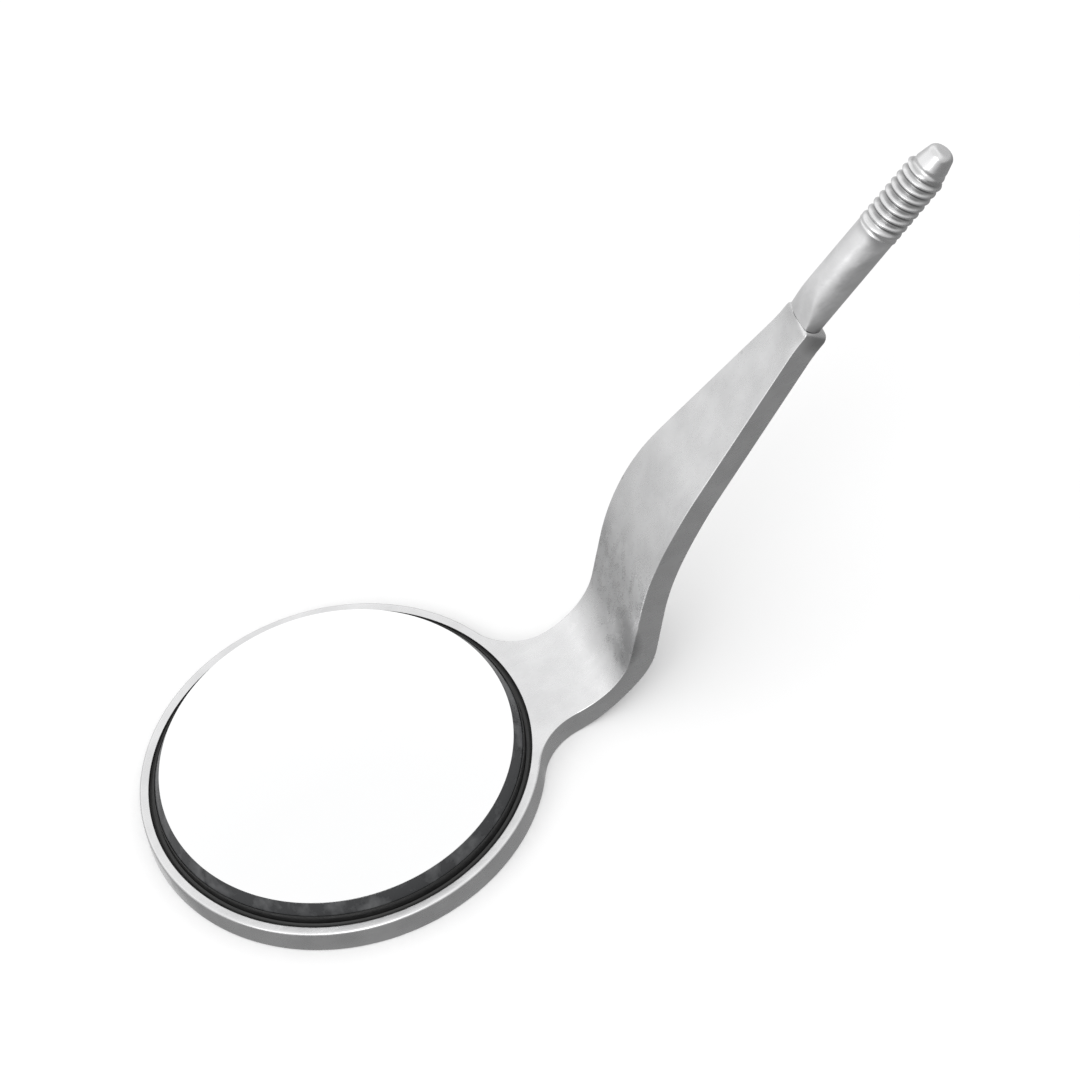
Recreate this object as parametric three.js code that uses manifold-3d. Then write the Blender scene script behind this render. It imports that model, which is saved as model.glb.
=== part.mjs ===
// Dental mouth mirror head: a bevelled round glass in a steel rim, a bent flat neck and a screw-in stem.
// Millimetres, +Z up. The back of the head lies on Z = 0, the glass faces +Z and the neck leaves along +X.
import * as THREE from 'three';
import { mergeVertices, toCreasedNormals } from 'three/addons/utils/BufferGeometryUtils.js';
import Module from 'manifold-3d';

const wasm = await Module();
wasm.setup();

const degrees = Math.PI / 180;

// --- Driving dimensions -------------------------------------------------------------------------

const clearance = 0.03; // between pieces that touch, as in a glued or brazed joint

// Glass and what lies on it
const glassDiameter = 24; // over the painted edge
const glassThickness = 1.8;
const bevelWidth = 0.42; // the bevel around the face, seen from above
const bevelHeight = 0.75;
const coatingThickness = 0.05; // reflecting layer on the face
const paintThickness = 0.06; // black paint on the glass's back and edge
const adhesiveThickness = 0.12;

// Head
const plateThickness = 1.7; // of the head and the neck
const recessDepth = 0.8;
const sealGap = 0.4; // between the painted glass edge and the rim
const rimWidth = 0.62;
const rimChamfer = 0.16; // on the rim's upper outer edge
const backChamfer = 0.08; // on the head's lower outer edge
const sealRecess = 0.14; // the sealing bead stops this far below the rim

// Neck, as a strip that is walked along its upper face
const tabLength = 1.5; // flat stretch from the rim to the first bend
const firstBendRadius = 5.4;
const bendThinning = 0.3; // the neck is this much thinner halfway round its first bend
const steepAngle = 69 * degrees;
const steepLength = 3.6;
const secondBendRadius = 21;
const riseAngle = 41 * degrees;
const straightLength = 13.6;

// Neck, seen from above
const filletRadius = 4; // between the rim and the neck
const waistHalfWidth = 3.5;
const bellyHalfWidth = 3.66;
const bellyDistance = 5.7; // from the first bend's start to the widest place
const taperDistance = 11.5; // from the first bend's start to the taper's start
const taperHalfWidth = 3.34;
const collarLength = 1.2; // the neck's last stretch is as wide as its end, seen from above
const shoulderStep = 0.23; // how far the neck's end stands out beside the stem

// Stem
const stemDiameter = 2.73;
const stemRise = 40.2 * degrees; // the stem leans a little less steeply than the neck
const plainLength = 8.3; // shoulder to thread
const runOutBefore = 2.4; // the rise from the neck's face to full round starts this far before the shoulder
const runOutAfter = 3.4; // and ends this far past it
const threadDiameter = 2.845;
const threadPitch = 0.635;
const threadDepth = 0.3;
const threadLength = 5.3;
const crestShare = 0.14; // flat part of the crest, as a share of the pitch
const rootShare = 0.2; // flat part of the root, as a share of the pitch
const noseLength = 2;
const noseStartDiameter = 2.54;
const noseEndDiameter = 1.7;
const noseEndRounding = 0.5;

// Facets
const ringSegments = 80;
const stemSegments = 28;
const stepsPerPitch = 7;

// --- Sizes worked out from them -----------------------------------------------------------------

const glassRadius = glassDiameter / 2;
const openingRadius = glassRadius + sealGap;
const headRadius = openingRadius + rimWidth;
const floorHeight = plateThickness - recessDepth;
const adhesiveBottom = floorHeight + clearance;
const paintBottom = adhesiveBottom + adhesiveThickness + clearance;
const glassBottom = paintBottom + paintThickness + clearance;
const glassTop = glassBottom + glassThickness;
const bareGlassRadius = glassRadius - paintThickness - clearance;
const faceRadius = bareGlassRadius - bevelWidth;
const bevelStart = glassTop - bevelHeight;

const bendStart = headRadius + tabLength;
const stemRadius = stemDiameter / 2;
const threadRadius = threadDiameter / 2;
const noseStartRadius = noseStartDiameter / 2;
const noseEndRadius = noseEndDiameter / 2;

// --- Helpers ------------------------------------------------------------------------------------

// Closed position-only mesh to a manifold solid.
function toSolid(geometry) {
  const bare = geometry.clone();
  bare.deleteAttribute('normal');
  bare.deleteAttribute('uv');
  const merged = mergeVertices(bare, 1e-5);
  return new wasm.Manifold(new wasm.Mesh({
    numProp: 3,
    vertProperties: new Float32Array(merged.attributes.position.array),
    triVerts: new Uint32Array(merged.index.array),
  }));
}

// Manifold solid back to a three.js geometry.
function toGeometry(solid) {
  const mesh = solid.getMesh();
  const geometry = new THREE.BufferGeometry();
  geometry.setAttribute('position', new THREE.BufferAttribute(mesh.vertProperties, 3));
  geometry.setIndex(new THREE.BufferAttribute(mesh.triVerts, 1));
  return toCreasedNormals(geometry, 30 * degrees);
}

// Solid of revolution about Z from a profile of [radius, height] points.
function revolve(profile, segments) {
  const points = profile.map(([radius, height]) => new THREE.Vector2(radius, height));
  return new THREE.LatheGeometry(points, segments).rotateX(Math.PI / 2);
}

// Ring-shaped profile with a rectangular section.
function ringProfile(inner, outer, bottom, top) {
  return [[inner, bottom], [outer, bottom], [outer, top], [inner, top], [inner, bottom]];
}

function part(name, geometry, color, roughness, metalness) {
  const mesh = new THREE.Mesh(geometry, new THREE.MeshStandardMaterial({ color, roughness, metalness }));
  mesh.name = name;
  return mesh;
}

// --- Neck centre line ---------------------------------------------------------------------------

// Walks the neck's upper face in the XZ plane and returns stations with their heading.
function walkNeck() {
  const stretches = [
    { length: steepAngle * firstBendRadius, turn: steepAngle, steps: 14, thinning: bendThinning },
    { length: steepLength, turn: 0, steps: 2, thinning: 0 },
    { length: (steepAngle - riseAngle) * secondBendRadius, turn: riseAngle - steepAngle, steps: 10, thinning: 0 },
    { length: straightLength, turn: 0, steps: 1, thinning: 0 },
  ];
  const stations = [{ x: bendStart, z: plateThickness, heading: 0, thickness: plateThickness }];
  for (const { length, turn, steps, thinning } of stretches) {
    for (let step = 0; step < steps; step += 1) {
      const last = stations[stations.length - 1];
      const chordHeading = last.heading + turn / steps / 2;
      const halfTurn = Math.abs(turn) / steps / 2;
      const chord = (length / steps) * (halfTurn > 0 ? Math.sin(halfTurn) / halfTurn : 1);
      stations.push({
        x: last.x + chord * Math.cos(chordHeading),
        z: last.z + chord * Math.sin(chordHeading),
        heading: last.heading + turn / steps,
        thickness: plateThickness - thinning * Math.sin((Math.PI * (step + 1)) / steps) ** 2,
      });
    }
  }
  return stations;
}

const stations = walkNeck();
const shoulder = stations[stations.length - 1];

// The stem lies flush with the neck's under face, so its axis starts this far below the upper face.
const axisDepth = plateThickness - stemRadius;
const stemBase = new THREE.Vector3(
  shoulder.x + axisDepth * Math.sin(riseAngle),
  0,
  shoulder.z - axisDepth * Math.cos(riseAngle),
);
const stemTurn = Math.PI / 2 - stemRise; // about Y, from +Z to the stem's direction

// Puts a geometry drawn along +Z from the origin onto the stem's axis.
function placeOnStem(geometry) {
  return geometry.rotateY(stemTurn).translate(stemBase.x, stemBase.y, stemBase.z);
}

// --- Head frame: cup and neck -------------------------------------------------------------------

function cupSolid() {
  return toSolid(revolve([
    [0, 0],
    [headRadius - backChamfer, 0],
    [headRadius, backChamfer],
    [headRadius, plateThickness - rimChamfer],
    [headRadius - rimChamfer, plateThickness],
    [0, plateThickness],
  ], ringSegments));
}

// Side view of the neck, from inside the rim to a little past the shoulder.
function neckSideSolid() {
  const rootX = openingRadius - filletRadius;
  const pastShoulder = 1;
  const upper = stations.map(({ x, z }) => new THREE.Vector2(x, z));
  const lower = stations.map(({ x, z, heading, thickness }) => new THREE.Vector2(
    x + thickness * Math.sin(heading),
    z - thickness * Math.cos(heading),
  ));
  for (const line of [upper, lower]) {
    const end = line[line.length - 1];
    const overrun = new THREE.Vector2(Math.cos(riseAngle), Math.sin(riseAngle)).multiplyScalar(pastShoulder);
    line.push(end.clone().add(overrun));
  }
  const outline = [
    new THREE.Vector2(rootX, 0),
    ...lower,
    ...upper.reverse(),
    new THREE.Vector2(rootX, plateThickness),
  ];
  const depth = 2 * headRadius;
  const geometry = new THREE.ExtrudeGeometry(new THREE.Shape(outline), { depth, bevelEnabled: false });
  return toSolid(geometry.rotateX(Math.PI / 2).translate(0, depth / 2, 0));
}

// Plan view of the neck: fillets off the rim, a waist, a belly and a long taper to the shoulder.
function neckPlanSolid() {
  const filletY = waistHalfWidth + filletRadius;
  const filletX = Math.sqrt((headRadius + filletRadius) ** 2 - filletY ** 2);
  const touchAngle = Math.atan2(filletY, filletX);
  const bellyX = bendStart + bellyDistance;
  const taperX = bendStart + taperDistance;
  const shoulderHalfWidth = stemRadius + shoulderStep;
  const collarX = shoulder.x - collarLength;
  const taperSlope = (taperHalfWidth - shoulderHalfWidth) / (collarX - taperX);
  const pastShoulder = 3;
  const swing = 0.4; // handle length of the blending curves, as a share of their run

  const edge = new THREE.Path();
  edge.moveTo(headRadius * Math.cos(touchAngle), headRadius * Math.sin(touchAngle));
  edge.absarc(filletX, filletY, filletRadius, touchAngle + Math.PI, 1.5 * Math.PI, false);
  const waistRun = (bellyX - filletX) * swing;
  edge.bezierCurveTo(
    filletX + waistRun, waistHalfWidth,
    bellyX - waistRun, bellyHalfWidth,
    bellyX, bellyHalfWidth,
  );
  const bellyRun = (taperX - bellyX) * swing;
  edge.bezierCurveTo(
    bellyX + bellyRun, bellyHalfWidth,
    taperX - bellyRun, taperHalfWidth + bellyRun * taperSlope,
    taperX, taperHalfWidth,
  );
  edge.lineTo(collarX, shoulderHalfWidth);
  edge.lineTo(shoulder.x + pastShoulder, shoulderHalfWidth);
  const left = edge.getPoints(9);
  const right = left.map(({ x, y }) => new THREE.Vector2(x, -y)).reverse();
  const depth = shoulder.z + 3 * plateThickness;
  const outline = new THREE.Shape([...left, ...right]);
  const geometry = new THREE.ExtrudeGeometry(outline, { depth, bevelEnabled: false });
  return toSolid(geometry.translate(0, 0, -plateThickness));
}

// The stem's top stands over the neck's upper face, and the rise to it eases in and out. This is the space
// over that rise. It is drawn on the stem's own axes, where its upper side faces -X and it runs along +Z.
function overRunOutSolid() {
  const runUp = 1;
  const steps = 8;
  const sink = runOutBefore * Math.sin(riseAngle - stemRise);
  const startHeight = axisDepth - sink;
  const outline = [
    new THREE.Vector2(-stemDiameter, -runOutBefore - runUp),
    new THREE.Vector2(-startHeight, -runOutBefore - runUp),
  ];
  for (let step = 0; step <= steps; step += 1) {
    const share = step / steps;
    const rise = (stemRadius - startHeight) * THREE.MathUtils.smoothstep(share, 0, 1);
    const along = (runOutBefore + runOutAfter) * share - runOutBefore;
    outline.push(new THREE.Vector2(-startHeight - rise, along));
  }
  outline.push(new THREE.Vector2(-stemDiameter, runOutAfter));
  const depth = 2 * stemDiameter;
  const geometry = new THREE.ExtrudeGeometry(new THREE.Shape(outline), { depth, bevelEnabled: false });
  return toSolid(geometry.translate(0, 0, -depth / 2).rotateX(Math.PI / 2));
}

// The part of that rise that lies on the neck.
function neckRunOutSolid() {
  const overrun = 1; // past the shoulder plane, where it is cut off again
  const round = toSolid(revolve([
    [0, -runOutBefore],
    [stemRadius, -runOutBefore],
    [stemRadius, overrun],
    [0, overrun],
  ], stemSegments));
  return round.subtract(overRunOutSolid()).rotate([0, stemTurn / degrees, 0]).translate(stemBase.toArray());
}

// Everything past the shoulder plane, to cut the neck's end square to the stem.
function pastShoulderSolid() {
  const size = 4 * stemDiameter;
  return toSolid(placeOnStem(new THREE.BoxGeometry(size, size, size).translate(0, 0, size / 2)));
}

function headFrame() {
  const pocket = toSolid(revolve([
    [0, floorHeight],
    [openingRadius, floorHeight],
    [openingRadius, 2 * plateThickness],
    [0, 2 * plateThickness],
  ], ringSegments));
  const strip = neckSideSolid().intersect(neckPlanSolid());
  const neck = strip.add(neckRunOutSolid()).subtract(pastShoulderSolid());
  return toGeometry(cupSolid().add(neck).subtract(pocket));
}

// --- Threaded stem ------------------------------------------------------------------------------

// Height of the thread profile, 0 at the root and 1 at the crest, for a phase of 0 to 1.
function threadProfile(phase) {
  const fromCrest = Math.abs(phase - Math.round(phase));
  const flankShare = (1 - crestShare - rootShare) / 2;
  return THREE.MathUtils.clamp(1 - (fromCrest - crestShare / 2) / flankShare, 0, 1);
}

function stemGeometry() {
  const threadStart = plainLength;
  const threadEnd = plainLength + threadLength;
  const levels = Math.round((threadLength / threadPitch) * stepsPerPitch);
  const profile = [[0, clearance], [stemRadius, clearance], [stemRadius, threadStart - threadPitch / 2]];
  for (let level = 0; level <= levels; level += 1) {
    profile.push([threadRadius, threadStart + (threadLength * level) / levels]);
  }
  profile.push([noseStartRadius, threadEnd + threadRadius - noseStartRadius]);
  const roundingCentre = threadEnd + noseLength - noseEndRounding;
  const flatRadius = noseEndRadius - noseEndRounding;
  for (const angle of [0, 30, 60, 90]) {
    profile.push([
      flatRadius + noseEndRounding * Math.cos(angle * degrees),
      roundingCentre + noseEndRounding * Math.sin(angle * degrees),
    ]);
  }
  profile.push([0, threadEnd + noseLength]);

  const geometry = revolve(profile, stemSegments);
  const position = geometry.attributes.position;
  for (let index = 0; index < position.count; index += 1) {
    const x = position.getX(index);
    const y = position.getY(index);
    const z = position.getZ(index);
    const inThread = z > threadStart - 1e-6 && z < threadEnd + 1e-6;
    if (inThread) {
      const turns = (z - threadStart) / threadPitch - Math.atan2(y, x) / (2 * Math.PI);
      const fade = Math.min((z - threadStart) / threadPitch, (threadEnd - z) / threadPitch, 1);
      const cut = threadDepth * (1 - threadProfile(turns)) * Math.max(fade, 0);
      const scale = (threadRadius - cut) / threadRadius;
      position.setXY(index, x * scale, y * scale);
    }
  }
  return toGeometry(toSolid(geometry).subtract(overRunOutSolid()));
}

// --- Glass and its layers -----------------------------------------------------------------------

function glassGeometry() {
  return revolve([
    [0, glassBottom],
    [bareGlassRadius, glassBottom],
    [bareGlassRadius, bevelStart],
    [faceRadius, glassTop],
    [0, glassTop],
  ], ringSegments);
}

function discGeometry(radius, bottom, thickness) {
  const top = bottom + thickness;
  return revolve([[0, bottom], [radius, bottom], [radius, top], [0, top]], ringSegments);
}

// The paint is a shallow cup: one coat over the glass's back and up its edge to the bevel.
function paintGeometry() {
  return revolve([
    [0, paintBottom],
    [glassRadius, paintBottom],
    [glassRadius, bevelStart],
    [glassRadius - paintThickness, bevelStart],
    [glassRadius - paintThickness, paintBottom + paintThickness],
    [0, paintBottom + paintThickness],
  ], ringSegments);
}

function sealGeometry() {
  return revolve(ringProfile(
    glassRadius + clearance,
    openingRadius - clearance,
    floorHeight + clearance,
    plateThickness - sealRecess,
  ), ringSegments);
}

// --- Assembly -----------------------------------------------------------------------------------

const steel = 0xc4c5c7;

const mouthMirror = new THREE.Group();

mouthMirror.add(part('head_frame', headFrame(), steel, 0.32, 1));

const stem = new THREE.Group();
stem.position.copy(stemBase);
stem.rotation.y = stemTurn;
stem.add(part('threaded_stem', stemGeometry(), steel, 0.28, 1));
mouthMirror.add(stem);

const adhesive = discGeometry(glassRadius - clearance, adhesiveBottom, adhesiveThickness);
const coating = discGeometry(faceRadius, glassTop + clearance, coatingThickness);
mouthMirror.add(part('adhesive_bed', adhesive, 0x26272a, 0.7, 0));
mouthMirror.add(part('backing_paint', paintGeometry(), 0x101012, 0.45, 0));
mouthMirror.add(part('mirror_glass', glassGeometry(), 0x2e3133, 0.06, 0));
mouthMirror.add(part('reflecting_coating', coating, 0xf4f6f7, 0.03, 1));
mouthMirror.add(part('edge_seal', sealGeometry(), 0x0c0c0d, 0.5, 0));

export default mouthMirror;
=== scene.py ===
"""Looks for the dental mouth mirror head: camera, floor, light, detailed meshes and materials."""

import math

import bmesh
import bpy
import numpy as np
from mathutils import Matrix, Vector
from mathutils.geometry import delaunay_2d_cdt


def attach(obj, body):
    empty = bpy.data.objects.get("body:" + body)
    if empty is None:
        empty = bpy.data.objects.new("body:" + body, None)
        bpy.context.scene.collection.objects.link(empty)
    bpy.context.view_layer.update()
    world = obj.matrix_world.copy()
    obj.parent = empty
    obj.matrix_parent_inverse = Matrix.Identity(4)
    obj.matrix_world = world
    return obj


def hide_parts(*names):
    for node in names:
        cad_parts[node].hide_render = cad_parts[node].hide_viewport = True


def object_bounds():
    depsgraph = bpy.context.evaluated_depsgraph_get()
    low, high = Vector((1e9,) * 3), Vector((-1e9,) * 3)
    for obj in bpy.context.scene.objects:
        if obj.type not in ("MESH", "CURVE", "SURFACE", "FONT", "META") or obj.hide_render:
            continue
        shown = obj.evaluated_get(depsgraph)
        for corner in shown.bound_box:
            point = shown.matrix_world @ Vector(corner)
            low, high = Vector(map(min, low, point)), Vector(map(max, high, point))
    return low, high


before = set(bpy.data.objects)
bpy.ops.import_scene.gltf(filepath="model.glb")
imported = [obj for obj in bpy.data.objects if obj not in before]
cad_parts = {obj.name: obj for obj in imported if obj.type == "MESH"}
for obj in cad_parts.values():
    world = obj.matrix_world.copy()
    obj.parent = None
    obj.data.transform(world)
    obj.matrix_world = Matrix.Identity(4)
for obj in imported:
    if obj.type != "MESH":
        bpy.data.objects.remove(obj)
cad_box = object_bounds()

MM = 0.001

# --- Sizes, in millimetres, as the CAD model has them --------------------------------------------

CLEARANCE = 0.03
GLASS_RADIUS = 12.0
PLATE_THICKNESS = 1.7
RECESS_DEPTH = 0.8
SEAL_GAP = 0.4
RIM_WIDTH = 0.62
SEAL_RECESS = 0.14
GLASS_THICKNESS = 1.8
BEVEL_WIDTH = 0.42
BEVEL_HEIGHT = 0.75
PAINT = 0.06
ADHESIVE = 0.12
COATING = 0.05

TAB_LENGTH = 1.5
FIRST_BEND_RADIUS = 5.4
BEND_THINNING = 0.3  # the neck is this much thinner halfway round its first bend
STEEP_ANGLE = math.radians(69)
STEEP_LENGTH = 3.6
SECOND_BEND_RADIUS = 21.0
RISE_ANGLE = math.radians(41)
STRAIGHT_LENGTH = 13.6

FILLET_RADIUS = 4.0
WAIST = 3.5
BELLY = 3.66
BELLY_DISTANCE = 5.7
TAPER_DISTANCE = 11.5
TAPER_START = 3.34
COLLAR_LENGTH = 1.2
SHOULDER_STEP = 0.23

STEM_RADIUS = 1.365
STEM_RISE = math.radians(40.2)
PLAIN_LENGTH = 8.3
RUN_OUT_BEFORE = 2.4
RUN_OUT_AFTER = 3.4
THREAD_RADIUS = 1.4225
THREAD_PITCH = 0.635
THREAD_DEPTH = 0.3
THREAD_LENGTH = 5.3
THREAD_FADE = 0.8  # the groove runs this far onto the nose
NOSE_LENGTH = 2.0
NOSE_START_RADIUS = 1.27
NOSE_END_RADIUS = 0.85
NOSE_ROUNDING = 0.5

OPENING_RADIUS = GLASS_RADIUS + SEAL_GAP
HEAD_RADIUS = OPENING_RADIUS + RIM_WIDTH
FLOOR_HEIGHT = PLATE_THICKNESS - RECESS_DEPTH
BEND_START = HEAD_RADIUS + TAB_LENGTH
GLASS_BOTTOM = FLOOR_HEIGHT + 3 * CLEARANCE + ADHESIVE + PAINT
GLASS_TOP = GLASS_BOTTOM + GLASS_THICKNESS
BEVEL_START = GLASS_TOP - BEVEL_HEIGHT
BARE_GLASS_RADIUS = GLASS_RADIUS - PAINT - CLEARANCE
FACE_RADIUS = BARE_GLASS_RADIUS - BEVEL_WIDTH

# --- Camera ---------------------------------------------------------------------------------------

CAMERA_AZIMUTH = math.radians(-6.24)
CAMERA_ELEVATION = math.radians(52)
CAMERA_ROLL = math.radians(18.46)
VIEW_WIDTH = 68.57  # millimetres across the picture
HEAD_OFF_CENTRE = (-12.35, -15.5)  # where the head's centre lies in the picture, from its middle
CAMERA_DISTANCE = 0.3  # metres
CAMERA_CLIP = (0.001, 10)


def make_camera():
    back = Vector((
        math.sin(CAMERA_AZIMUTH) * math.cos(CAMERA_ELEVATION),
        -math.cos(CAMERA_AZIMUTH) * math.cos(CAMERA_ELEVATION),
        math.sin(CAMERA_ELEVATION),
    ))
    level = Vector((math.cos(CAMERA_AZIMUTH), math.sin(CAMERA_AZIMUTH), 0))
    upright = back.cross(level)
    right = level * math.cos(CAMERA_ROLL) - upright * math.sin(CAMERA_ROLL)
    up = level * math.sin(CAMERA_ROLL) + upright * math.cos(CAMERA_ROLL)
    target = (right * -HEAD_OFF_CENTRE[0] + up * -HEAD_OFF_CENTRE[1]) * MM
    data = bpy.data.cameras.new("camera")
    data.type = "ORTHO"
    data.ortho_scale = VIEW_WIDTH * MM
    data.clip_start = CAMERA_CLIP[0]
    data.clip_end = CAMERA_CLIP[1]
    camera = bpy.data.objects.new("camera", data)
    turn = Matrix((right, up, back)).transposed().to_4x4()
    camera.matrix_world = Matrix.Translation(target + back * CAMERA_DISTANCE) @ turn
    bpy.context.collection.objects.link(camera)
    bpy.context.scene.camera = camera


make_camera()

# --- Mesh helpers -----------------------------------------------------------------------------------


def new_object(name, vertices, faces, crease=35):
    """A mesh object from millimetre points, smooth but for edges sharper than crease degrees."""
    mesh = bpy.data.meshes.new(name)
    mesh.from_pydata([Vector(v) * MM for v in vertices], [], faces)
    work = bmesh.new()
    work.from_mesh(mesh)
    bmesh.ops.recalc_face_normals(work, faces=work.faces)
    for face in work.faces:
        face.smooth = True
    for edge in work.edges:
        edge.smooth = len(edge.link_faces) == 2 and edge.calc_face_angle(0) < math.radians(crease)
    work.to_mesh(mesh)
    work.free()
    thing = bpy.data.objects.new(name, mesh)
    bpy.context.collection.objects.link(thing)
    return thing


def rounded(points, steps=5):
    """The open outline through (x, y, radius) points, with an arc of that radius at each corner."""
    outline = [points[0][:2]]
    for before, corner, after in zip(points, points[1:], points[2:]):
        here = Vector(corner[:2])
        radius = corner[2]
        to_before = (Vector(before[:2]) - here).normalized()
        to_after = (Vector(after[:2]) - here).normalized()
        half = to_before.angle(to_after) / 2
        if radius == 0:
            outline.append(tuple(here))
            continue
        reach = radius / math.tan(half)
        start = here + to_before * reach
        centre = here + (to_before + to_after).normalized() * (radius / math.sin(half))
        first = start - centre
        swing = first.angle_signed(here + to_after * reach - centre)
        for step in range(steps + 1):
            spoke = first.copy()
            spoke.rotate(Matrix.Rotation(-swing * step / steps, 2))
            outline.append(tuple(centre + spoke))
    outline.append(points[-1][:2])
    return outline


def revolve(name, outline, segments, crease=35):
    """A solid of revolution about Z from a (radius, height) outline, which either starts and ends on the
    axis or is closed, so that its last point repeats its first."""
    closed = outline[0] == outline[-1]
    rings = outline[:-1] if closed else outline
    vertices = []
    rows = []
    for radius, height in rings:
        if radius == 0:
            rows.append([len(vertices)] * segments)
            vertices.append((0, 0, height))
            continue
        rows.append(list(range(len(vertices), len(vertices) + segments)))
        for index in range(segments):
            angle = 2 * math.pi * index / segments
            vertices.append((radius * math.cos(angle), radius * math.sin(angle), height))
    if closed:
        rows.append(rows[0])
    faces = []
    for low, high in zip(rows, rows[1:]):
        for index in range(segments):
            after = (index + 1) % segments
            corners = [low[index], low[after], high[after], high[index]]
            faces.append(list(dict.fromkeys(corners)))
    return new_object(name, vertices, faces, crease)


# --- The neck's path and outline -----------------------------------------------------------------

BEND_ONE = STEEP_ANGLE * FIRST_BEND_RADIUS
BEND_TWO = (STEEP_ANGLE - RISE_ANGLE) * SECOND_BEND_RADIUS
NECK_LENGTH = BEND_ONE + STEEP_LENGTH + BEND_TWO + STRAIGHT_LENGTH


def neck_at(travel):
    """Position and heading on the neck's upper face, at a distance from the first bend's start."""
    along = min(travel, BEND_ONE)
    heading = along / FIRST_BEND_RADIUS
    x = BEND_START + FIRST_BEND_RADIUS * math.sin(heading)
    z = PLATE_THICKNESS + FIRST_BEND_RADIUS * (1 - math.cos(heading))
    steep = min(max(travel - BEND_ONE, 0), STEEP_LENGTH)
    x += steep * math.cos(STEEP_ANGLE)
    z += steep * math.sin(STEEP_ANGLE)
    curved = min(max(travel - BEND_ONE - STEEP_LENGTH, 0), BEND_TWO)
    if curved > 0:
        heading = STEEP_ANGLE - curved / SECOND_BEND_RADIUS
        x += SECOND_BEND_RADIUS * (math.sin(STEEP_ANGLE) - math.sin(heading))
        z += SECOND_BEND_RADIUS * (math.cos(heading) - math.cos(STEEP_ANGLE))
    straight = max(travel - BEND_ONE - STEEP_LENGTH - BEND_TWO, 0)
    x += straight * math.cos(RISE_ANGLE)
    z += straight * math.sin(RISE_ANGLE)
    return x, z, heading


SHOULDER_X, SHOULDER_Z, _ = neck_at(NECK_LENGTH)
FILLET_Y = WAIST + FILLET_RADIUS
FILLET_X = math.sqrt((HEAD_RADIUS + FILLET_RADIUS) ** 2 - FILLET_Y ** 2)
TOUCH_ANGLE = math.atan2(FILLET_Y, FILLET_X)
SHOULDER_HALF_WIDTH = STEM_RADIUS + SHOULDER_STEP
CURVE_REACH = 0.4  # how far a curve's inner points lie along its length


def bezier(p0, p1, p2, p3, steps=24):
    """Points on a cubic curve from p0 to p3, which leaves towards p1 and arrives from p2."""
    t = np.linspace(0, 1, steps)[:, None]
    p0, p1, p2, p3 = (np.array(p, float) for p in (p0, p1, p2, p3))
    return (1 - t) ** 3 * p0 + 3 * (1 - t) ** 2 * t * p1 + 3 * (1 - t) * t ** 2 * p2 + t ** 3 * p3


def neck_edge():
    """The neck's edge in plan, from the waist to the shoulder, as points of x and half width."""
    belly_x = BEND_START + BELLY_DISTANCE
    taper_x = BEND_START + TAPER_DISTANCE
    collar_x = SHOULDER_X - COLLAR_LENGTH
    slope = (TAPER_START - SHOULDER_HALF_WIDTH) / (collar_x - taper_x)
    run = (belly_x - FILLET_X) * CURVE_REACH
    first = bezier(
        (FILLET_X, WAIST), (FILLET_X + run, WAIST),
        (belly_x - run, BELLY), (belly_x, BELLY),
    )
    run = (taper_x - belly_x) * CURVE_REACH
    second = bezier(
        (belly_x, BELLY), (belly_x + run, BELLY),
        (taper_x - run, TAPER_START + run * slope), (taper_x, TAPER_START),
    )
    end = np.array([[collar_x, SHOULDER_HALF_WIDTH], [SHOULDER_X + 1, SHOULDER_HALF_WIDTH]])
    return np.vstack([first, second[1:], end])


NECK_EDGE = neck_edge()


def half_width(x):
    """The neck's half width in plan, at a distance from the head's centre."""
    if x < FILLET_X:
        return FILLET_Y - math.sqrt(FILLET_RADIUS ** 2 - (x - FILLET_X) ** 2)
    return float(np.interp(x, NECK_EDGE[:, 0], NECK_EDGE[:, 1]))


# --- Head frame -----------------------------------------------------------------------------------

RIM_ROUNDING = 0.2
NECK_ROUNDING = 0.07
UNDER_ROUNDING = 0.08
CORNER_ROUNDING = 0.45  # the neck's end corners, seen from above its face
AXIS_DEPTH = PLATE_THICKNESS - STEM_RADIUS  # the stem's axis below the neck's upper face
ACROSS = 24  # divisions across the neck
SUPPORT = 0.03  # narrow strip beside each rounded edge, which keeps the flat faces' shading flat
RIM_STEPS = 220
FILLET_STEPS = 24
FIRST_BEND_STEPS = 28
STEEP_STEPS = 6
SECOND_BEND_STEPS = 22
STRAIGHT_STEPS = 16
CORNER_STEPS = 7
LIP_ROUNDING = 0.05
RECESS_FLOOR_RING = 0.3  # width of the flat ring of floor beside the recess's wall
RECESS_SEGMENTS = 240


def run_out(travel):
    """How far the rise to the stem's top stands over the neck's face, at a distance past the shoulder."""
    share = min(max((travel + RUN_OUT_BEFORE) / (RUN_OUT_BEFORE + RUN_OUT_AFTER), 0), 1)
    return (STEM_RADIUS - AXIS_DEPTH) * share * share * (3 - 2 * share)


def thickness_at(travel):
    """The neck's thickness, which is least halfway round the first bend."""
    if travel > BEND_ONE:
        return PLATE_THICKNESS
    return PLATE_THICKNESS - BEND_THINNING * math.sin(math.pi * travel / BEND_ONE) ** 2


def bend(travel, y, depth):
    """A point of the flat blank, at a depth under its upper face, carried onto the bent neck."""
    x, z, heading = neck_at(travel)
    return (x + depth * math.sin(heading), y, z - depth * math.cos(heading))


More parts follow.
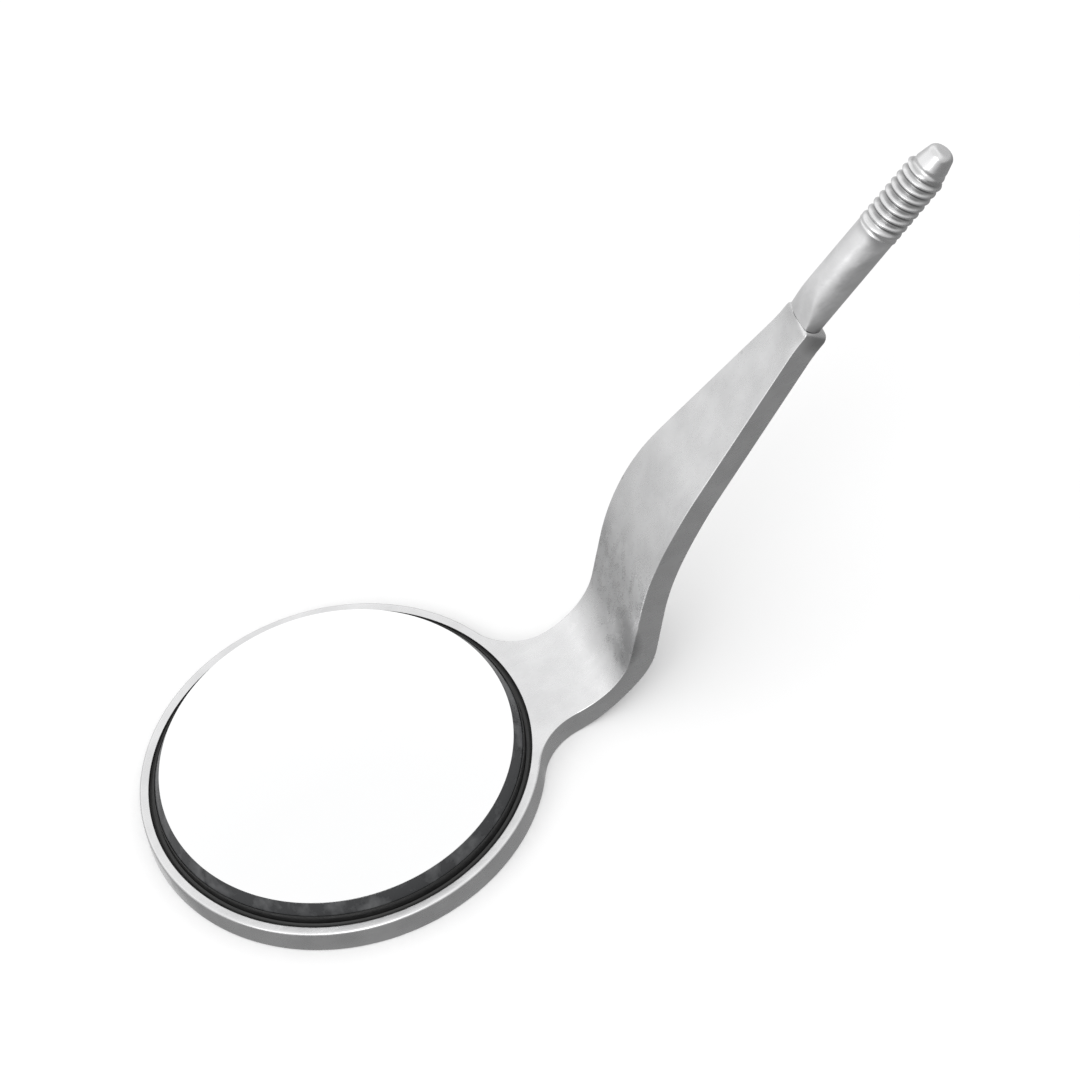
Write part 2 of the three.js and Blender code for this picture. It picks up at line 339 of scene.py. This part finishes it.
def edge_profile(upper, thickness=PLATE_THICKNESS, steps=5):
    """The rounded edge of the blank, as (inset, depth) points from its upper face to its under face."""
    angles = [math.pi / 2 * step / steps for step in range(steps + 1)]
    above = [(upper * (1 - math.sin(a)), upper * (1 - math.cos(a))) for a in angles]
    lower = UNDER_ROUNDING
    below = [(lower * (1 - math.sin(a)), lower * (1 - math.cos(a))) for a in angles]
    above.insert(0, (upper + SUPPORT, 0))
    below.insert(0, (UNDER_ROUNDING + SUPPORT, 0))
    return above + [(inset, thickness - depth) for inset, depth in reversed(below)]


class Surface:
    """Points and faces that are gathered for one mesh."""

    def __init__(self):
        self.vertices = []
        self.faces = []

    def add(self, point):
        self.vertices.append(point)
        return len(self.vertices) - 1

    def stitch(self, first, second):
        """Joins two rows of points with quads."""
        for a, b, c, d in zip(first, first[1:], second[1:], second):
            self.faces.append([a, b, c, d])

    def fill(self, loop, hole=()):
        """Covers the flat area inside a loop, and leaves a hole in it open."""
        size = len(loop)
        ids = list(loop) + list(hole)
        edges = [(i, (i + 1) % size) for i in range(size)]
        edges += [(size + i, size + (i + 1) % len(hole)) for i in range(len(hole))]
        points = [Vector(self.vertices[i][:2]) for i in ids]
        _, _, triangles, originals, _, _ = delaunay_2d_cdt(points, edges, [], 2, 1e-9)
        for triangle in triangles:
            corners = [originals[i][0] for i in triangle]
            if min(corners) < size:  # a triangle with all its corners on the hole lies in it
                self.faces.append([ids[i] for i in corners])


def flat_outline():
    """The flat stretch's outline, from the neck's left edge round the rim to its right edge. Each entry is
    a point, the direction inwards from it and the rounding there."""
    fillet_end = math.asin((FILLET_X - BEND_START) / FILLET_RADIUS)
    fillet_angles = np.linspace(1.5 * math.pi - fillet_end, TOUCH_ANGLE + math.pi, FILLET_STEPS)
    left = []
    for index, angle in enumerate(fillet_angles):
        spoke = np.array([math.cos(angle), math.sin(angle)])
        share = index / (FILLET_STEPS - 1)
        rounding = NECK_ROUNDING + (RIM_ROUNDING - NECK_ROUNDING) * share
        left.append((np.array([FILLET_X, FILLET_Y]) + FILLET_RADIUS * spoke, spoke, rounding))
    rim = []
    rim_angles = np.linspace(TOUCH_ANGLE, 2 * math.pi - TOUCH_ANGLE, RIM_STEPS)
    for angle in rim_angles[1:-1]:
        spoke = np.array([math.cos(angle), math.sin(angle)])
        rim.append((HEAD_RADIUS * spoke, -spoke, RIM_ROUNDING))
    flip = np.array([1, -1])
    right = [(point * flip, inward * flip, rounding) for point, inward, rounding in reversed(left)]
    return left + rim + right


def neck_travels():
    """Distances along the neck at which it has a row of points, closest together round its end corners."""
    travels = [BEND_ONE * i / FIRST_BEND_STEPS for i in range(FIRST_BEND_STEPS + 1)]
    travels += [BEND_ONE + STEEP_LENGTH * i / STEEP_STEPS for i in range(1, STEEP_STEPS + 1)]
    for step in range(1, SECOND_BEND_STEPS + 1):
        travels.append(BEND_ONE + STEEP_LENGTH + BEND_TWO * step / SECOND_BEND_STEPS)
    start = BEND_ONE + STEEP_LENGTH + BEND_TWO
    plain = NECK_LENGTH - CORNER_ROUNDING - start
    travels += [start + plain * i / STRAIGHT_STEPS for i in range(1, STRAIGHT_STEPS + 1)]
    for step in range(1, CORNER_STEPS + 1):
        angle = math.pi / 2 * step / CORNER_STEPS
        travels.append(NECK_LENGTH - CORNER_ROUNDING + CORNER_ROUNDING * math.sin(angle))
    return travels


def neck_row(surface, travel, sides):
    """Points round the neck at one travel. sides is None or the left and right edges, if already made."""
    x, _, _ = neck_at(travel)
    width = half_width(x)
    near_end = travel - (NECK_LENGTH - CORNER_ROUNDING)
    if near_end > 0:
        width -= CORNER_ROUNDING - math.sqrt(max(CORNER_ROUNDING ** 2 - near_end ** 2, 0))
    thickness = thickness_at(travel)
    if sides is None:
        edge = edge_profile(NECK_ROUNDING, thickness)
        left = [surface.add(bend(travel, width - inset, depth)) for inset, depth in edge]
        right = [surface.add(bend(travel, inset - width, depth)) for inset, depth in edge]
    else:
        left, right = sides
    inner = width - NECK_ROUNDING
    inner_under = width - UNDER_ROUNDING
    top = [left[0]]
    under = [left[-1]]
    for step in range(1, ACROSS):
        across = 1 - 2 * step / ACROSS
        crown = run_out(travel - NECK_LENGTH) * (1 - across * across)
        top.append(surface.add(bend(travel, inner * across, -crown)))
        under.append(surface.add(bend(travel, inner_under * across, thickness)))
    top.append(right[0])
    under.append(right[-1])
    return {"left": left, "right": right, "top": top, "under": under}


def add_recess(surface):
    """The cup's recess: a rounded lip, the wall and the floor. Gives back the lip's outermost ring."""
    lip = rounded([
        (OPENING_RADIUS + LIP_ROUNDING + SUPPORT, PLATE_THICKNESS, 0),
        (OPENING_RADIUS, PLATE_THICKNESS, LIP_ROUNDING),
        (OPENING_RADIUS, FLOOR_HEIGHT, LIP_ROUNDING),
        (OPENING_RADIUS - RECESS_FLOOR_RING, FLOOR_HEIGHT, 0),
    ], steps=3)
    rings = []
    for radius, height in lip[:-1]:
        ring = []
        for index in range(RECESS_SEGMENTS):
            angle = 2 * math.pi * index / RECESS_SEGMENTS
            ring.append(surface.add((radius * math.cos(angle), radius * math.sin(angle), height)))
        rings.append(ring)
    for low, high in zip(rings, rings[1:]):
        surface.stitch(low + low[:1], high + high[:1])
    surface.faces.append(rings[-1])
    return rings[0]


def make_head_frame():
    surface = Surface()
    rails = []
    for point, inward, rounding in flat_outline():
        rail = []
        for inset, depth in edge_profile(rounding):
            x, y = point + inward * inset
            rail.append(surface.add((x, y, PLATE_THICKNESS - depth)))
        rails.append(rail)
    rows = []
    for travel in neck_travels():
        sides = None if rows else (rails[0], rails[-1])
        rows.append(neck_row(surface, travel, sides))
    for low, high in zip(rows, rows[1:]):
        for side in ("left", "top", "right", "under"):
            surface.stitch(low[side], high[side])
    for low, high in zip(rails, rails[1:]):
        surface.stitch(low, high)
    last = rows[-1]
    upper_half = last["top"] + last["right"][1:]
    surface.faces.append(upper_half + last["under"][::-1][1:] + last["left"][::-1][1:-1])
    lip = add_recess(surface)
    surface.fill([rail[0] for rail in rails] + rows[0]["top"][::-1][1:-1], lip)
    surface.fill([rail[-1] for rail in rails] + rows[0]["under"][::-1][1:-1])
    return new_object("visual_head_frame", surface.vertices, surface.faces)


# --- Threaded stem --------------------------------------------------------------------------------

STEM_BASE = Vector((
    SHOULDER_X + AXIS_DEPTH * math.sin(RISE_ANGLE),
    0,
    SHOULDER_Z - AXIS_DEPTH * math.cos(RISE_ANGLE),
))
FADE_IN = 1.6 * THREAD_PITCH  # the groove reaches its full depth over this length
FADE_OUT = 1.5 * THREAD_FADE  # and it starts to fade this far before its end
CREASE_SOFTNESS = 0.1  # of the crease where the rising face meets the round rod
STEM_SEGMENTS = 128
RUN_OUT_STEPS = 40
PLAIN_LEVELS = 10
PLAIN_GAPS = (0.3, 0.12)  # left free of levels at the plain rod's two ends
LEVELS_PER_PITCH = 16
FADE_STEPS = 24


def thread_cut(travel, angle):
    """Depth of the thread's groove at a distance from the shoulder and an angle round the stem."""
    into = travel - PLAIN_LENGTH
    left = THREAD_LENGTH + THREAD_FADE - into
    if into <= 0 or left <= 0:
        return 0.0
    phase = into / THREAD_PITCH - angle / (2 * math.pi)
    groove = (1 - math.cos(2 * math.pi * phase)) / 2
    fade_in = min(into / FADE_IN, 1)
    fade_out = min(left / FADE_OUT, 1)
    return THREAD_DEPTH * groove * fade_in * fade_out


def under_run_out(upward, sideways, travel):
    """A height over the stem's axis, held under the crowned face that rises to the stem's top."""
    left = 1 - travel / RUN_OUT_AFTER
    if left <= 0:
        return upward
    across = sideways / (SHOULDER_HALF_WIDTH - NECK_ROUNDING)
    face = AXIS_DEPTH + run_out(travel) * (1 - left * across * across)
    soft = CREASE_SOFTNESS * min(1, 3 * left)
    gap = face - upward
    return face - (gap + math.sqrt(gap * gap + soft * soft)) / 2


def stem_levels():
    """Radius of the uncut stem and distance from the shoulder, for each ring of points."""
    thread_end = PLAIN_LENGTH + THREAD_LENGTH
    tip = thread_end + NOSE_LENGTH
    levels = []
    for step in range(RUN_OUT_STEPS + 1):
        levels.append((STEM_RADIUS, CLEARANCE + RUN_OUT_AFTER * step / RUN_OUT_STEPS))
    first = RUN_OUT_AFTER + PLAIN_GAPS[0]
    last = PLAIN_LENGTH - PLAIN_GAPS[1]
    levels += [(STEM_RADIUS, travel) for travel in np.linspace(first, last, PLAIN_LEVELS)]
    count = int(THREAD_LENGTH / THREAD_PITCH * LEVELS_PER_PITCH)
    levels += [(THREAD_RADIUS, travel) for travel in np.linspace(PLAIN_LENGTH, thread_end, count)]
    chamfer = THREAD_RADIUS - NOSE_START_RADIUS
    slope = (NOSE_START_RADIUS - NOSE_END_RADIUS) / (NOSE_LENGTH - chamfer)
    for step in range(1, FADE_STEPS + 1):
        into = THREAD_FADE * step / FADE_STEPS
        cone_radius = NOSE_START_RADIUS - slope * (into - chamfer)
        levels.append((max(THREAD_RADIUS - into, cone_radius), thread_end + into))
    nose = rounded([levels[-1] + (0,), (NOSE_END_RADIUS, tip, NOSE_ROUNDING), (0, tip, 0)], steps=10)
    return levels + nose[1:-1]


def make_stem():
    vertices = []
    rows = []
    for radius, travel in stem_levels():
        row = []
        for index in range(STEM_SEGMENTS):
            angle = 2 * math.pi * index / STEM_SEGMENTS
            here = radius - thread_cut(travel, angle)
            sideways = here * math.sin(angle)
            upward = under_run_out(-here * math.cos(angle), sideways, travel)
            row.append(len(vertices))
            vertices.append((-upward, sideways, travel))
        rows.append(row)
    faces = [rows[0][::-1]]
    for low, high in zip(rows, rows[1:]):
        for index in range(STEM_SEGMENTS):
            after = (index + 1) % STEM_SEGMENTS
            faces.append([low[index], low[after], high[after], high[index]])
    faces.append(rows[-1])
    stem = new_object("visual_threaded_stem", vertices, faces, crease=60)
    turn = Matrix.Rotation(math.pi / 2 - STEM_RISE, 4, "Y")
    stem.data.transform(Matrix.Translation(STEM_BASE * MM) @ turn)
    return stem


# --- Glass and its layers ---------------------------------------------------------------------------

DISC_SEGMENTS = 256
BACK_ROUNDING = 0.05  # of the glass's and the paint's back edges
BEVEL_ROUNDING = 0.04
COATING_ROUNDING = 0.012
PAINT_LIP_ROUNDING = 0.02
SEAL_SAG = 0.07
SEAL_STEPS = 8


def make_glass():
    outline = rounded([
        (0, GLASS_BOTTOM, 0),
        (BARE_GLASS_RADIUS, GLASS_BOTTOM, BACK_ROUNDING),
        (BARE_GLASS_RADIUS, BEVEL_START, BEVEL_ROUNDING),
        (FACE_RADIUS, GLASS_TOP, BEVEL_ROUNDING),
        (0, GLASS_TOP, 0),
    ], steps=3)
    return revolve("visual_mirror_glass", outline, DISC_SEGMENTS)


def make_coating():
    low = GLASS_TOP + CLEARANCE
    outline = rounded([
        (0, low, 0),
        (FACE_RADIUS, low, COATING_ROUNDING),
        (FACE_RADIUS, low + COATING, COATING_ROUNDING),
        (0, low + COATING, 0),
    ], steps=2)
    return revolve("visual_reflecting_coating", outline, DISC_SEGMENTS)


def make_paint():
    low = GLASS_BOTTOM - CLEARANCE - PAINT
    outline = rounded([
        (0, low, 0),
        (GLASS_RADIUS, low, BACK_ROUNDING),
        (GLASS_RADIUS, BEVEL_START, PAINT_LIP_ROUNDING),
        (GLASS_RADIUS - PAINT, BEVEL_START, PAINT_LIP_ROUNDING),
        (GLASS_RADIUS - PAINT, low + PAINT, 0),
        (0, low + PAINT, 0),
    ], steps=2)
    return revolve("visual_backing_paint", outline, DISC_SEGMENTS)


def make_seal():
    """The bead's upper face sags between the glass and the rim."""
    inner = GLASS_RADIUS + CLEARANCE
    outer = OPENING_RADIUS - CLEARANCE
    bottom = FLOOR_HEIGHT + CLEARANCE
    top = PLATE_THICKNESS - SEAL_RECESS
    outline = [(inner, bottom), (outer, bottom)]
    for step in range(SEAL_STEPS + 1):
        share = step / SEAL_STEPS
        sag = SEAL_SAG * math.sin(math.pi * share)
        outline.append((outer + (inner - outer) * share, top - sag))
    outline.append((inner, bottom))
    return revolve("visual_edge_seal", outline, DISC_SEGMENTS)


# --- Materials --------------------------------------------------------------------------------------

GROOVE_SHADE = 0.4  # painted shade in the thread's grooves: their colour against the crests'
ROD_ROUGHENING = 1.7  # the plain rod is this much rougher than the thread
DULL_STEEL = (0.70, 0.70, 0.705)
BRIGHT_STEEL = (0.78, 0.78, 0.785)
SPECK_TONE = 0.75  # darkness of the specks against the steel round them


class Nodes:
    """A small helper around one material's node tree."""

    def __init__(self, name):
        self.material = bpy.data.materials.new(name)
        self.material.use_nodes = True
        self.tree = self.material.node_tree
        self.shader = self.tree.nodes["Principled BSDF"]
        self.place = self.add("ShaderNodeTexCoord").outputs["Object"]

    def add(self, kind, **values):
        node = self.tree.nodes.new(kind)
        for key, value in values.items():
            setattr(node, key, value)
        return node

    def link(self, out, to):
        self.tree.links.new(out, to)

    def noise(self, scale, stretch=(1, 1, 1), detail=4.0, rough=0.55, turn=(0, 0, 0)):
        mapping = self.add("ShaderNodeMapping")
        mapping.inputs["Scale"].default_value = stretch
        mapping.inputs["Rotation"].default_value = turn
        self.link(self.place, mapping.inputs["Vector"])
        noise = self.add("ShaderNodeTexNoise")
        noise.inputs["Scale"].default_value = scale
        noise.inputs["Detail"].default_value = detail
        noise.inputs["Roughness"].default_value = rough
        self.link(mapping.outputs[0], noise.inputs["Vector"])
        return noise.outputs["Fac"]

    def ramp(self, value, low, high, start, end):
        node = self.add("ShaderNodeMapRange")
        node.inputs["From Min"].default_value = low
        node.inputs["From Max"].default_value = high
        node.inputs["To Min"].default_value = start
        node.inputs["To Max"].default_value = end
        self.link(value, node.inputs["Value"])
        return node.outputs[0]

    def colours(self, value, low, high):
        node = self.add("ShaderNodeMix", data_type="RGBA")
        self.link(value, node.inputs["Factor"])
        node.inputs["A"].default_value = (*low, 1)
        node.inputs["B"].default_value = (*high, 1)
        return node.outputs["Result"]

    def scaled(self, colour, factor):
        node = self.add("ShaderNodeVectorMath", operation="SCALE")
        self.link(colour, node.inputs[0])
        self.link(factor, node.inputs["Scale"])
        return node.outputs[0]

    def vector(self, operation, first, second):
        node = self.add("ShaderNodeVectorMath", operation=operation)
        self.link(first, node.inputs[0])
        node.inputs[1].default_value = second
        return node

    def combined(self, operation, first, second):
        node = self.add("ShaderNodeMath", operation=operation)
        self.link(first, node.inputs[0])
        self.link(second, node.inputs[1])
        return node.outputs[0]

    def bump(self, height, strength, distance, before=None):
        node = self.add("ShaderNodeBump")
        node.inputs["Strength"].default_value = strength
        node.inputs["Distance"].default_value = distance
        self.link(height, node.inputs["Height"])
        if before is not None:
            self.link(before, node.inputs["Normal"])
        return node.outputs[0]


def shade_rod(nodes, tone, worn, base, direction):
    """Paints shade into the thread's grooves by darkening their colour, and roughens the plain rod of a
    stem with a base and a direction.
    """
    from_base = nodes.vector("SUBTRACT", nodes.place, base).outputs["Vector"]
    along = nodes.vector("DOT_PRODUCT", from_base, direction).outputs["Value"]
    off_axis = nodes.vector("CROSS_PRODUCT", from_base, direction).outputs["Vector"]
    radius = nodes.vector("LENGTH", off_axis, (0, 0, 0)).outputs["Value"]
    root = (THREAD_RADIUS - THREAD_DEPTH) * MM
    start = PLAIN_LENGTH * MM
    end = start + THREAD_LENGTH * MM
    # Painted shade: the colour darkens towards the grooves' roots.
    groove = nodes.ramp(radius, root, root + 0.7 * THREAD_DEPTH * MM, GROOVE_SHADE, 1)
    before = nodes.ramp(along, start, start + 0.4 * MM, 1, 0)
    after = nodes.ramp(along, end - 0.2 * MM, end + 0.4 * MM, 0, 1)
    outside = nodes.combined("MAXIMUM", before, after)
    tone = nodes.scaled(tone, nodes.combined("MAXIMUM", groove, outside))
    rougher = nodes.ramp(along, start - 0.3 * MM, start, ROD_ROUGHENING, 1)
    return tone, nodes.combined("MULTIPLY", worn, rougher)


def steel(name, grain_turn, grain_stretch, roughness, dark_spots=(), rod=None):
    """Satin steel: cloudy polish, fine grain, tiny pits and rare dark specks. The dark spots passed in
    darken the colour round points, one of them painted shade in the first bend; rod is a stem's base and
    direction, and paints shade into its thread's grooves."""
    nodes = Nodes(name)
    shader = nodes.shader
    shader.inputs["Metallic"].default_value = 1
    cloud = nodes.noise(420, detail=5)
    grain = nodes.noise(9000, stretch=grain_stretch, detail=3, turn=grain_turn)
    pits = nodes.noise(2600, detail=2)
    scuffs = nodes.noise(900, stretch=(0.25, 1.4, 1), detail=6, turn=(0, 0, 0.5))
    specks = nodes.add("ShaderNodeTexVoronoi")
    specks.inputs["Scale"].default_value = 260
    nodes.link(nodes.place, specks.inputs["Vector"])
    clean = nodes.ramp(specks.outputs["Distance"], 0.035, 0.06, SPECK_TONE, 1)

    tone = nodes.colours(nodes.ramp(cloud, 0.35, 0.65, 0, 1), DULL_STEEL, BRIGHT_STEEL)
    tone = nodes.scaled(tone, clean)
    # Each dark spot scales the colour down round its point; the first bend's spot is painted shade.
    for place, inner, outer, depth in dark_spots:
        away = nodes.vector("DISTANCE", nodes.place, place).outputs["Value"]
        tone = nodes.scaled(tone, nodes.ramp(away, inner, outer, 1 - depth, 1))
    low, high = roughness
    worn = nodes.combined(
        "MULTIPLY",
        nodes.ramp(grain, 0.3, 0.7, low, high),
        nodes.ramp(scuffs, 0.42, 0.62, 0.85, 1.2),
    )
    if rod is not None:
        tone, worn = shade_rod(nodes, tone, worn, *rod)
    nodes.link(tone, shader.inputs["Base Color"])
    nodes.link(worn, shader.inputs["Roughness"])
    first = nodes.bump(grain, 0.12, 0.00002)
    second = nodes.bump(scuffs, 0.06, 0.00004, before=first)
    nodes.link(nodes.bump(pits, 0.08, 0.00003, before=second), shader.inputs["Normal"])
    return nodes.material


def dark_spot(place, inner, outer, depth):
    """A dark spot for steel(), from millimetres: full depth within inner of a place, and none at outer."""
    return tuple(Vector(place) * MM), inner * MM, outer * MM, depth


def glass_material():
    nodes = Nodes("ground_glass")
    cloud = nodes.noise(700, detail=5)
    haze = nodes.ramp(cloud, 0.5, 0.75, 0, 1)
    tone = nodes.colours(haze, (0.03, 0.031, 0.033), (0.10, 0.102, 0.105))
    nodes.link(tone, nodes.shader.inputs["Base Color"])
    nodes.link(nodes.ramp(cloud, 0.35, 0.7, 0.16, 0.4), nodes.shader.inputs["Roughness"])
    return nodes.material


def mirror_material():
    nodes = Nodes("mirror_coating")
    smudge = nodes.noise(160, detail=6)
    nodes.shader.inputs["Metallic"].default_value = 1
    tone = nodes.colours(smudge, (0.96, 0.965, 0.97), (0.98, 0.98, 0.98))
    nodes.link(tone, nodes.shader.inputs["Base Color"])
    nodes.link(nodes.ramp(smudge, 0.4, 0.8, 0.01, 0.03), nodes.shader.inputs["Roughness"])
    return nodes.material


def dark_material(name, low, high, roughness):
    """A black, slightly uneven material between two grey levels."""
    nodes = Nodes(name)
    cloud = nodes.noise(1500, detail=4)
    nodes.link(nodes.colours(cloud, (low,) * 3, (high,) * 3), nodes.shader.inputs["Base Color"])
    nodes.link(nodes.ramp(cloud, 0.3, 0.7, *roughness), nodes.shader.inputs["Roughness"])
    nodes.link(nodes.bump(cloud, 0.3, 0.00004), nodes.shader.inputs["Normal"])
    return nodes.material


def dress(piece, material, node):
    piece.data.materials.clear()
    piece.data.materials.append(material)
    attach(piece, "root")
    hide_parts(node)


# Painted shade: darkens the steel's colour in the concave first bend, standing in for the dark reflection
# there.
bend_painted_shade = dark_spot(bend(BEND_ONE + 0.5, -0.68 * BELLY, -2.0), inner=2.15, outer=2.95, depth=0.5)
# Darkens the steel's colour round a point just below the stem's joint with the neck, towards -Y.
joint_darkening = dark_spot(STEM_BASE + Vector((0.3, -1.2, -0.9)), inner=0.5, outer=1.5, depth=0.45)
frame_steel = steel(
    "satin_steel", (0, 0, 0), (0.15, 1, 1), (0.24, 0.36),
    dark_spots=(bend_painted_shade, joint_darkening),
)
stem_steel = steel(
    "turned_steel", (0, math.pi / 2 - STEM_RISE, 0), (0.3, 0.3, 1.5), (0.24, 0.34),
    dark_spots=(joint_darkening,),
    rod=(tuple(STEM_BASE * MM), (math.cos(STEM_RISE), 0, math.sin(STEM_RISE))),
)
paint_black = dark_material("black_paint", 0.008, 0.02, (0.3, 0.5))
seal_black = dark_material("black_seal", 0.012, 0.03, (0.35, 0.6))
dress(make_head_frame(), frame_steel, "head_frame")
dress(make_stem(), stem_steel, "threaded_stem")
dress(make_glass(), glass_material(), "mirror_glass")
dress(make_coating(), mirror_material(), "reflecting_coating")
dress(make_paint(), paint_black, "backing_paint")
dress(make_seal(), seal_black, "edge_seal")
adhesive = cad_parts["adhesive_bed"]
adhesive.data.materials.clear()
adhesive.data.materials.append(dark_material("adhesive", 0.02, 0.04, (0.5, 0.7)))

# --- Floor and light --------------------------------------------------------------------------------


FLOOR_REACH = 0.6  # metres from its middle to each side
FLOOR_GAP = 0.00001  # between the part and the floor, so that their faces don't coincide
SKY_UP = (0, 0.3, 1)  # up, with the horizon tilted
SKY_LEVELS = ((0.0, 0.66), (0.36, 0.82), (0.65, 1.22), (0.85, 1.06), (1.0, 1.02))
HORIZON = (-0.34, -0.12)  # heights between which the light below gives way to the sky
BRIGHT_BELOW = (0, 0.77, -0.62)  # the light below is brightest this way
LEVELS_BELOW = ((0.0, 0.28), (0.45, 0.32), (0.82, 0.3), (0.95, 0.85))


def make_floor():
    corners = [(x * FLOOR_REACH, y * FLOOR_REACH, 0) for x, y in ((-1, -1), (1, -1), (1, 1), (-1, 1))]
    mesh = bpy.data.meshes.new("floor")
    mesh.from_pydata(corners, [], [(0, 1, 2, 3)])
    floor = bpy.data.objects.new("floor", mesh)
    floor.location.z = cad_box[0].z - FLOOR_GAP
    bpy.context.collection.objects.link(floor)
    nodes = Nodes("floor")
    nodes.shader.inputs["Base Color"].default_value = (0.93, 0.93, 0.93, 1)
    nodes.shader.inputs["Roughness"].default_value = 0.9
    nodes.shader.inputs["Specular IOR Level"].default_value = 0
    mesh.materials.append(nodes.material)
    floor.visible_glossy = False


def paint_ramp(ramp, stops):
    """Sets a colour ramp's stops from pairs of position and grey level."""
    while len(ramp.elements) < len(stops):
        ramp.elements.new(0.5)
    for element, (position, level) in zip(ramp.elements, stops):
        element.position = position
        element.color = (level, level, level, 1)


def make_world():
    """A white studio, brightest part of the way up, and dark below its tilted horizon but for one side."""
    world = bpy.data.worlds.new("studio")
    bpy.context.scene.world = world
    world.use_nodes = True
    tree = world.node_tree
    background = tree.nodes["Background"]
    place = tree.nodes.new("ShaderNodeTexCoord")

    def towards(direction):
        """How far a direction of the world points a given way."""
        node = tree.nodes.new("ShaderNodeVectorMath")
        node.operation = "DOT_PRODUCT"
        node.inputs[1].default_value = direction
        tree.links.new(place.outputs["Generated"], node.inputs[0])
        return node.outputs["Value"]

    height = towards(SKY_UP)

    above = tree.nodes.new("ShaderNodeValToRGB")
    paint_ramp(above.color_ramp, SKY_LEVELS)
    tree.links.new(height, above.inputs["Fac"])

    below = tree.nodes.new("ShaderNodeValToRGB")
    paint_ramp(below.color_ramp, LEVELS_BELOW)
    tree.links.new(towards(BRIGHT_BELOW), below.inputs["Fac"])

    side = tree.nodes.new("ShaderNodeMapRange")
    side.inputs["From Min"].default_value = HORIZON[0]
    side.inputs["From Max"].default_value = HORIZON[1]
    tree.links.new(height, side.inputs["Value"])
    mix = tree.nodes.new("ShaderNodeMix")
    mix.data_type = "RGBA"
    tree.links.new(side.outputs[0], mix.inputs["Factor"])
    tree.links.new(below.outputs["Color"], mix.inputs["A"])
    tree.links.new(above.outputs["Color"], mix.inputs["B"])
    tree.links.new(mix.outputs["Result"], background.inputs["Color"])


def make_softbox(name, direction, distance, width, radiance):
    """A square area light that faces the object from a direction."""
    data = bpy.data.lights.new(name, "AREA")
    data.shape = "SQUARE"
    data.size = width
    data.energy = radiance * math.pi * width * width
    light = bpy.data.objects.new(name, data)
    towards = Vector(direction).normalized()
    light.location = towards * distance
    light.rotation_mode = "QUATERNION"
    light.rotation_quaternion = towards.to_track_quat("Z", "Y")
    bpy.context.collection.objects.link(light)


make_floor()
make_world()
make_softbox("key_light", (-0.25, -0.6, 0.76), distance=0.6, width=0.3, radiance=2.4)
make_softbox("side_light", (-0.8, -0.38, 0.5), distance=0.6, width=0.22, radiance=1.3)
bpy.context.scene.view_settings.view_transform = "Standard"
